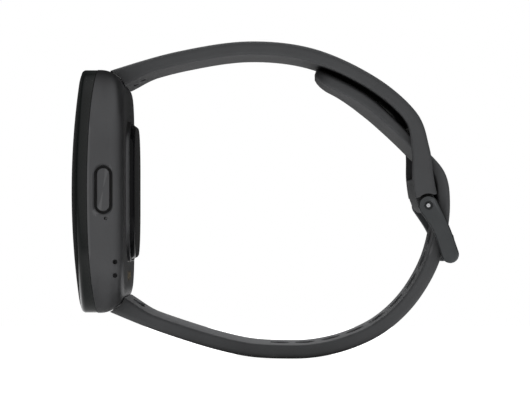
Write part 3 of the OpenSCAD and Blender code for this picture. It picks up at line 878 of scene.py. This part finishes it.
def across(outline, half, bevel=0.0):
    """A profile drawn as (X, Z) and carried across the band, with softened ends."""
    middle = sum(outline, Vector((0, 0))) / len(outline)
    small = [p + (middle - p).normalized() * bevel for p in outline]
    rings = [(-half, small), (bevel - half, outline), (half - bevel, outline), (half, small)]
    if not bevel:
        rings = [(-half, outline), (half, outline)]
    return prism(rings, on_side_plane)


def window_tools():
    """Cutters for the window that the tail passes through, and for the opening below it."""
    half_height = (WINDOW_Z[1] - WINDOW_Z[0]) / 2
    foot_z, foot_half, foot_r = WINDOW_FOOT
    window = rounded_outline(WINDOW_HALF, half_height, WINDOW_R, 8, 2)
    foot = rounded_outline(WINDOW_HALF, foot_half, foot_r, 2, 2)
    return [prism([(x, outline) for x in WINDOW_X], lambda u, v, x: Vector((x, u, middle_z + v)))
            for outline, middle_z in ((window, sum(WINDOW_Z) / 2), (foot, foot_z))]


def end_tool(radius, inner_y):
    """A cylinder round the hinge's axis, from inner_y out past that side of the band."""
    outer_y = math.copysign(OUTSIDE_Y, inner_y)
    return on_pin(radius, min(inner_y, outer_y), max(inner_y, outer_y))


def make_upper_strap():
    def thick(s, total):
        return STRAP_THICK + root_extra(s) + HINGE_FLARE * end_share(s, total, HINGE_FLARE_LENGTH)

    strap = strap_body("wrist_strap_upper", UPPER_FACE, -1, thick, lambda s, p, total: STRAP_HALF,
                       lambda s, total: (OUTER_CROWN, 0.0), lambda s, total: INNER_SIDE_R)
    cut_root(strap, UPPER_ROOT)
    for tool in window_tools():
        cut(strap, tool)
    for side in (-1, 1):
        cut(strap, end_tool(NOTCH_R, side * (STRAP_HALF - NOTCH_DEPTH)))
    knuckle = across(smooth_line(KNUCKLE, 6)[:-1], KNUCKLE_HALF, KNUCKLE_EDGE)
    cut(knuckle, on_pin(SLEEVE_R, -OUTSIDE_Y, OUTSIDE_Y))
    join(strap, knuckle)
    join(strap, across([Vector(p) for p in SHOULDER], STRAP_HALF - SHOULDER_INSET))
    finish_piece(strap, "band", RUBBER, ["upper_strap"], sharp=35)


def lower_inner_line():
    """The inner face of the lower strap, where its slots are set out."""
    line = smooth_line(LOWER_FACE)
    return [p + STRAP_THICK * Vector((-h.y, h.x)) for p, h in zip(line, headings(line))]


def slot_places():
    """Where each slot sits on the inner face, and the way the strap runs there."""
    line = lower_inner_line()
    lengths = running(line)
    start = next(i for i, p in enumerate(line) if p.x > LOWEST_X)
    upto = next(i for i in range(start, len(line)) if line[i].y >= PEG_SLOT_Z)
    share = (PEG_SLOT_Z - line[upto - 1].y) / (line[upto].y - line[upto - 1].y)
    peg_run = lengths[upto - 1] + share * (lengths[upto] - lengths[upto - 1])
    places = []
    for k in range(SLOT_COUNT):
        s = peg_run - k * SLOT_PITCH
        i = max(j for j, length in enumerate(lengths) if length <= s)
        t = (s - lengths[i]) / (lengths[i + 1] - lengths[i])
        places.append((line[i].lerp(line[i + 1], t), (line[i + 1] - line[i]).normalized()))
    return places


def slot_tool(place, heading):
    """A slot through the strap, its rims eased on both faces."""
    outward = Vector((heading.y, -heading.x))

    def at(across, along, depth):
        p = place + heading * along + outward * depth
        return Vector((p.x, across, p.y))

    levels = ((-SLOT_PAST, SLOT_BEVEL + SLOT_PAST), (SLOT_BEVEL, 0.0),
              (STRAP_THICK - SLOT_BEVEL, 0.0), (STRAP_THICK + SLOT_PAST, SLOT_BEVEL + SLOT_PAST))
    length, width = SLOT
    return prism([(d, pill_outline(width, length, grow, side_steps=1)) for d, grow in levels], at)


def tail_share(s, total):
    """0 up to the closure, and 1 beyond it."""
    first, last = TAIL_CROWN_SHARES
    return ease((s / total - first) / (last - first))


def tail_thick(s, total):
    """The long strap's thickness: more near the case and in the tail, less at its rounded tip."""
    extra = TAIL_EXTRA * end_share(s, total, TAIL_EXTRA_LENGTH)
    taper = TIP_TAPER * end_share(s, total, TIP_TAPER_LENGTH)
    into_nose = max(0, min(1, (s - total + NOSE_LENGTH) / NOSE_LENGTH))
    nose = NOSE * (1 - math.sqrt(1 - into_nose ** 2))
    return STRAP_THICK + root_extra(s) + extra - taper - nose


def tail_half_width(s, p, total):
    """Half the long strap's width: it narrows under the wrist, and its tip is rounded."""
    narrowed = max(0, min(1, (p.x - TAPER_FROM_X) / (TAPER_TO_X - TAPER_FROM_X)))
    if p.y > TAPER_TOP_Z:
        narrowed = 1
    width = STRAP_HALF + (TAIL_HALF - STRAP_HALF) * narrowed
    into_tip = TIP_ROUND - (total - s)
    if into_tip > 0:
        left = max(TIP_ROUND ** 2 - min(into_tip, TIP_ROUND) ** 2, TIP_LEAST)
        width -= TIP_ROUND - math.sqrt(left)
    return width


def tail_crowns(s, total):
    """How far the outer and the inner face are crowned; the tail's inner face is the rounder one."""
    fade = 1 - end_share(s, total, TIP_TAPER_LENGTH)
    return OUTER_CROWN, TAIL_CROWN * tail_share(s, total) * fade


def tail_inner_edge(s, total):
    """The radius of the long strap's inner edges."""
    return INNER_SIDE_R + (TAIL_INNER_SIDE_R - INNER_SIDE_R) * tail_share(s, total)


def make_lower_strap():
    strap = strap_body("wrist_strap_lower", LOWER_FACE, 1, tail_thick, tail_half_width, tail_crowns,
                       tail_inner_edge)
    cut_root(strap, LOWER_ROOT)
    for place, heading in slot_places():
        cut(strap, slot_tool(place, heading))
    finish_piece(strap, "band", RUBBER, ["lower_strap"], sharp=35)


# ---------------------------------------------------------------- closure

def loop_arm(side):
    """One bent arm of the loop, chamfered more on its outer face than on its inner one."""
    def outline(inset):
        return ribbon_outline((PIN, KNEE, ARM_END), ARM_RADII, inset)

    outer = [(side * (ARM_OUTER_Y - depth), outline(inset)) for inset, depth in ARM_CHAMFER]
    inner = [(side * (ARM_INNER_Y + 0.5 * depth), outline(0.5 * inset))
             for inset, depth in reversed(ARM_CHAMFER)]
    return prism(outer + inner, on_side_plane, "closure_loop")


def make_loop():
    """The closure's loop: two arms joined by the end bar, bored for the pin."""
    loop = loop_arm(-1)
    bar = ribbon_outline(BAR, BAR_RADII)
    bar_half = ARM_INNER_Y + BAR_IN_ARM
    join(loop, prism([(-bar_half, bar), (bar_half, bar)], on_side_plane))
    join(loop, loop_arm(1))
    cut(loop, on_pin(PIN_R + PIN_GAP, -OUTSIDE_Y, OUTSIDE_Y))
    for side in (-1, 1):
        cut(loop, end_tool(COUNTERBORE_R, side * (ARM_OUTER_Y - COUNTERBORE_DEPTH)))
    finish_piece(loop, "buckle", BUCKLE_METAL, ["buckle_loop"], sharp=20)


def make_pin():
    """The hinge pin, with domed ends and a centre mark in each."""
    profile = [(PIN_HALF - back, r) for back, r in PIN_TURNED]
    levels = [(-y, r) for y, r in profile] + [(y, r) for y, r in reversed(profile)]
    pin = prism([(y, circle_outline(r, 36)) for y, r in levels],
                lambda u, v, y: Vector((PIN[0] + u, y, PIN[1] + v)), "closure_pin")
    finish_piece(pin, "buckle", PIN_STEEL, ["hinge_pin"])


def make_peg():
    """The peg that drops into a slot, with a rounded nose."""
    along = Vector((PEG_DIRECTION[0], 0, PEG_DIRECTION[1])).normalized()
    up = Vector((-along.z, 0, along.x))
    base = Vector((PEG_BASE[0], 0, PEG_BASE[1]))
    levels = [(PEG_FROM, 0.0), (PEG_TO - PEG_NOSE, 0.0)]
    for degrees in PEG_NOSE_ANGLES:
        a = math.radians(degrees)
        levels.append((PEG_TO - PEG_NOSE * (1 - math.sin(a)), PEG_NOSE * (1 - math.cos(a))))
    rings = []
    for reach, inset in levels:
        outline = rounded_outline(PEG_HALF[0] - inset, PEG_HALF[1] - inset,
                                  PEG_CORNER - 0.6 * inset, 5, 2)
        rings.append([base + along * reach + Vector((0, p.x, 0)) + up * p.y for p in outline])
    finish_piece(solid("closure_peg", rings), "buckle", STEEL, ["buckle_peg"])


# ---------------------------------------------------------------- CAD nodes that stay

KEPT = {
    SEAL: ("display_gasket", "back_seal", "button_seal"),
    PANEL: ("display_panel",),
    FLEX: ("display_flex",),
    BOARD_GREEN: ("sensor_board",),
    LED: ("sensor_leds",),
    GOLD: ("charging_pads",),
    TRAY: ("inner_tray", "upper_release_key", "lower_release_key"),
    FOIL: ("battery",),
    BOARD_BLUE: ("main_board",),
    CHIP: ("board_chips",),
    STEEL: ("board_screws", "vibration_motor", "microphone", "button_clip", "button_switch",
            "upper_link", "lower_link", "hinge_sleeve"),
    MODULE: ("speaker_module",),
    MESH_GREY: ("port_mesh",),
}


def dress_kept_nodes():
    for material, names in KEPT.items():
        for name in names:
            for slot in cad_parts[name].material_slots:
                slot.material = material


# ---------------------------------------------------------------- studio

FLOOR_HALF = 3.0
FLOOR_BACK = 0.13                  # the floor ends a little behind the band
FLOOR_DROP = 0.0002
FLOOR_GREY = 0.3
FLOOR_ROUGH = 0.9
FLOOR_SPECULAR = 0.1
FLOOR_SEEN = 1.0                   # its glow to the camera, as light on the band, and in reflections
FLOOR_GLOW = 1.3
FLOOR_SHINE = 0.1
ROOM_LIGHT = 0.5
ROOM_DARK = 0.03
ROOM_LIGHT_FROM = (0.0, -0.75, 0.66)
ROOM_LIGHT_SPREAD = 0.7            # the room is fully lit from this share of that direction on
MIDDLE = (0.0, 0.0, 0.0265)


def either(tree, ray, no, yes):
    """A number that depends on the kind of light ray; `no` may be another node's output."""
    path = tree.nodes.new("ShaderNodeLightPath")
    choose = tree.nodes.new("ShaderNodeMix")
    choose.data_type = "FLOAT"
    choose.inputs["B"].default_value = yes
    if isinstance(no, float):
        choose.inputs["A"].default_value = no
    else:
        tree.links.new(no, choose.inputs["A"])
    tree.links.new(path.outputs[ray], choose.inputs["Factor"])
    return choose.outputs["Result"]


def make_floor():
    """A plain white floor that glows: white to the camera, and dim where a glossy face mirrors it."""
    corners = [(-FLOOR_HALF, -FLOOR_HALF, -FLOOR_DROP), (FLOOR_HALF, -FLOOR_HALF, -FLOOR_DROP),
               (FLOOR_HALF, FLOOR_BACK, -FLOOR_DROP), (-FLOOR_HALF, FLOOR_BACK, -FLOOR_DROP)]
    floor = new_object("floor", corners, [(0, 1, 2, 3)])
    material = bpy.data.materials.new("floor_white")
    material.use_nodes = True
    tree = material.node_tree
    shader = tree.nodes["Principled BSDF"]
    shader.inputs["Base Color"].default_value = (FLOOR_GREY, FLOOR_GREY, FLOOR_GREY, 1)
    shader.inputs["Roughness"].default_value = FLOOR_ROUGH
    shader.inputs["Specular IOR Level"].default_value = FLOOR_SPECULAR
    shader.inputs["Emission Color"].default_value = (1, 1, 1, 1)
    felt = either(tree, "Is Glossy Ray", FLOOR_GLOW, FLOOR_SHINE)
    tree.links.new(either(tree, "Is Camera Ray", felt, FLOOR_SEEN), shader.inputs["Emission Strength"])
    floor.data.materials.append(material)


def make_world():
    """White to the camera, and to the object a dim room that is lit from the front and above."""
    world = bpy.data.worlds.new("studio")
    scene.world = world
    world.use_nodes = True
    tree = world.node_tree
    coord = tree.nodes.new("ShaderNodeTexCoord")
    facing = tree.nodes.new("ShaderNodeVectorMath")
    facing.operation = "DOT_PRODUCT"
    facing.inputs[1].default_value = ROOM_LIGHT_FROM
    tree.links.new(coord.outputs["Generated"], facing.inputs[0])
    room = mapped(tree, facing.outputs["Value"], (0, ROOM_LIGHT_SPREAD), (ROOM_DARK, ROOM_LIGHT))
    background = tree.nodes["Background"]
    background.inputs["Color"].default_value = (1, 1, 1, 1)
    tree.links.new(either(tree, "Is Camera Ray", room, 1.0), background.inputs["Strength"])


def softbox(name, place, size, power, shines=False):
    """A soft light turned to the band's middle. It shows in reflections only if it shines."""
    light = bpy.data.lights.new(name, "AREA")
    light.shape = "RECTANGLE"
    light.size, light.size_y = size
    light.energy = power
    obj = bpy.data.objects.new(name, light)
    obj.location = place
    obj.rotation_euler = (Vector(MIDDLE) - Vector(place)).to_track_quat("-Z", "Y").to_euler()
    obj.visible_glossy = shines
    scene.collection.objects.link(obj)
    return obj


def make_lights():
    """A weak key light, a strong light from above and behind, and a rim light for one strap."""
    softbox("key", (-0.3, -0.6, 0.5), (0.7, 0.7), 0.6)
    softbox("top", (0.0, 0.4, 0.6), (0.8, 0.6), 12.0)
    rim = softbox("rim", (0.0, 0.6, 0.25), (0.8, 0.25), 0.42, shines=True)
    rim_lit = bpy.data.collections.new("rim_lit")
    rim_lit.objects.link(bpy.data.objects["wrist_strap_lower"])
    rim.light_linking.receiver_collection = rim_lit


CAMERA_DISTANCE = 0.46
CAMERA_HEIGHT = 0.0234
LENS = 183.4
SENSOR = 36.0
PICTURE_CENTRE_Z = 0.02664


def make_camera():
    """Level with the lower half of the band and looking straight at its side."""
    data = bpy.data.cameras.new("camera")
    data.lens = LENS
    data.sensor_width = SENSOR
    data.shift_y = (PICTURE_CENTRE_Z - CAMERA_HEIGHT) / CAMERA_DISTANCE * LENS / SENSOR
    data.clip_start = 0.01
    data.clip_end = 20
    camera = bpy.data.objects.new("camera", data)
    camera.location = (0, -CAMERA_DISTANCE, CAMERA_HEIGHT)
    camera.rotation_euler = (math.radians(90), 0, 0)
    scene.collection.objects.link(camera)
    scene.camera = camera


make_case()
make_glass()
make_bump()
make_button()
make_upper_strap()
make_lower_strap()
make_loop()
make_pin()
make_peg()
dress_kept_nodes()

scene.view_settings.view_transform = "Standard"
make_floor()
make_world()
make_lights()
make_camera()
